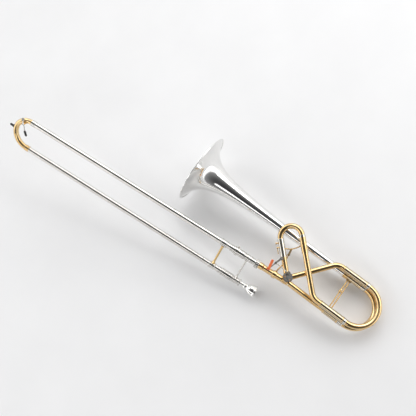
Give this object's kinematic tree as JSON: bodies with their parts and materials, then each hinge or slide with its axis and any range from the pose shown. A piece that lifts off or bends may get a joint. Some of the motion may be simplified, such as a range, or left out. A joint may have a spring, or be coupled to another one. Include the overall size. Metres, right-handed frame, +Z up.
{
  "type": "trombone",
  "caption": "Tenor trombone with a rotary valve and F tubing, slide closed, lying on its bell rim, tuning bow and mouthpiece rim",
  "frame": {"origin": "middle of the bounding box's underside, on the plane the instrument lies on", "axes": "+X along the level direction of the hand slide towards its crook, +Z up from the surface"},
  "size_m": [1.15, 0.334, 0.2303],
  "materials": {
    "silver_plate": "polished",
    "lacquered_brass": "polished, clear lacquer",
    "nickel_silver": "polished",
    "red_felt": "felt",
    "black_rubber": "matte",
    "cork": "matte",
    "orange_plastic": "gloss",
    "spring_steel": "drawn"
  },
  "bodies": {
    "instrument": {"inner_tube_bell_leg": "nickel_silver", "inner_tube_mouthpiece_leg": "nickel_silver", "cork_barrels": "nickel_silver", "barrel_felts": "red_felt", "inner_slide_brace": "nickel_silver", "slide_tenon": "nickel_silver", "mouthpiece_receiver": "nickel_silver", "receiver_ring": "nickel_silver", "leadpipe": "lacquered_brass", "gooseneck": "lacquered_brass", "gooseneck_collar": "lacquered_brass", "rotor_casing": "lacquered_brass", "valve_plates": "lacquered_brass", "stop_corks": "cork", "lever_post": "nickel_silver", "lever_spring": "spring_steel", "neck_brace": "lacquered_brass", "valve_leg": "lacquered_brass", "short_sleeves": "nickel_silver", "cross_tube": "lacquered_brass", "diagonal_tube": "lacquered_brass", "long_sleeves": "nickel_silver", "arched_brace": "lacquered_brass", "scroll_brace": "lacquered_brass", "stem_bracket": "lacquered_brass", "leg_knobs": "lacquered_brass", "bell_flare": "silver_plate", "bell_rim_wire": "silver_plate", "bell_stem": "silver_plate", "bell_tail_ring": "nickel_silver", "main_leg": "lacquered_brass", "main_sleeves": "nickel_silver", "tuning_slide_brace": "lacquered_brass"},
    "outer_slide": {"outer_tube_bell_leg": "nickel_silver", "outer_tube_mouthpiece_leg": "nickel_silver", "slide_crook": "lacquered_brass", "crook_ferrules": "lacquered_brass", "outer_end_ferrules": "nickel_silver", "outer_slide_brace": "lacquered_brass", "slide_bumper": "black_rubber", "water_key_seat": "lacquered_brass"},
    "water_key": {"water_key_lever": "nickel_silver", "water_key_cork": "cork", "water_key_tip": "black_rubber"},
    "slide_lock": {"slide_lock_ring": "nickel_silver"},
    "lock_nut": {"bell_lock_nut": "nickel_silver"},
    "mouthpiece": {"mouthpiece": "silver_plate"},
    "thumb_lever": {"thumb_lever": "nickel_silver", "touch_piece": "orange_plastic", "lever_screw": "nickel_silver"},
    "linkage_rod": {"linkage_rod": "nickel_silver"},
    "rotor": {"rotor_core": "lacquered_brass", "rotor_crank": "lacquered_brass", "crank_screw": "nickel_silver"},
    "main_tuning_slide": {"main_bow": "lacquered_brass", "main_slide_legs": "nickel_silver"},
    "f_long_slide": {"long_bow": "lacquered_brass", "long_slide_legs": "nickel_silver"},
    "f_short_slide": {"short_bow": "lacquered_brass", "short_slide_legs": "nickel_silver"}
  },
  "joints": [
    {"name": "hand_slide", "type": "slide", "parent": "instrument", "child": "outer_slide", "axis": [0.9842, 0, 0.1771], "range_m": [0, 0.58]},
    {"name": "water_key_press", "type": "hinge", "parent": "outer_slide", "child": "water_key", "pos_m": [0.52154, 0.09649, 0.22194], "axis": [-0.934, -0.338, 0.1156], "range_deg": [0, 16], "stiffness_Nm_per_rad": 0.03, "springref_deg": -28.65},
    {"name": "slide_lock_turn", "type": "hinge", "parent": "instrument", "child": "slide_lock", "pos_m": [-0.16875, 0.08074, 0.09119], "axis": [0.9842, 0, 0.1771], "range_deg": [0, 35]},
    {"name": "bell_nut_turn", "type": "hinge", "parent": "instrument", "child": "lock_nut", "pos_m": [-0.23223, 0.08074, 0.07977], "axis": [0.9842, 0, 0.1771], "range_deg": [0, 720]},
    {"name": "mouthpiece_pull", "type": "slide", "parent": "instrument", "child": "mouthpiece", "axis": [-0.9842, 0, -0.1771], "range_m": [0, 0.03]},
    {"name": "thumb_lever_press", "type": "hinge", "parent": "instrument", "child": "thumb_lever", "pos_m": [-0.28211, 0.03489, 0.08908], "axis": [-0.1742, -0.1812, 0.9679], "range_deg": [0, 28.53], "stiffness_Nm_per_rad": 0.12, "springref_deg": -28.65},
    {"name": "rod_joint", "type": "hinge", "parent": "thumb_lever", "child": "linkage_rod", "pos_m": [-0.27663, 0.05366, 0.09771], "axis": [-0.1742, -0.1812, 0.9679], "range_deg": [-28.54, 0]},
    {"name": "rotor_turn", "type": "hinge", "parent": "instrument", "child": "rotor", "pos_m": [-0.31999, 0.07087, 0.07246], "axis": [-0.1742, -0.1812, 0.9679], "range_deg": [-75.01, 0]},
    {"name": "main_tuning_pull", "type": "slide", "parent": "instrument", "child": "main_tuning_slide", "axis": [-0.9832, 0.0857, -0.1609], "range_m": [0, 0.036]},
    {"name": "f_long_pull", "type": "slide", "parent": "instrument", "child": "f_long_slide", "axis": [-0.9832, 0.0857, -0.1609], "range_m": [0, 0.06]},
    {"name": "f_short_pull", "type": "slide", "parent": "instrument", "child": "f_short_slide", "axis": [0.648, -0.7571, 0.0829], "range_m": [0, 0.02]}
  ],
  "couplings": [
    {"joint": "rod_joint", "follows": "thumb_lever_press", "ratio": -1},
    {"joint": "rotor_turn", "follows": "thumb_lever_press", "ratio": -2.6288}
  ]
}
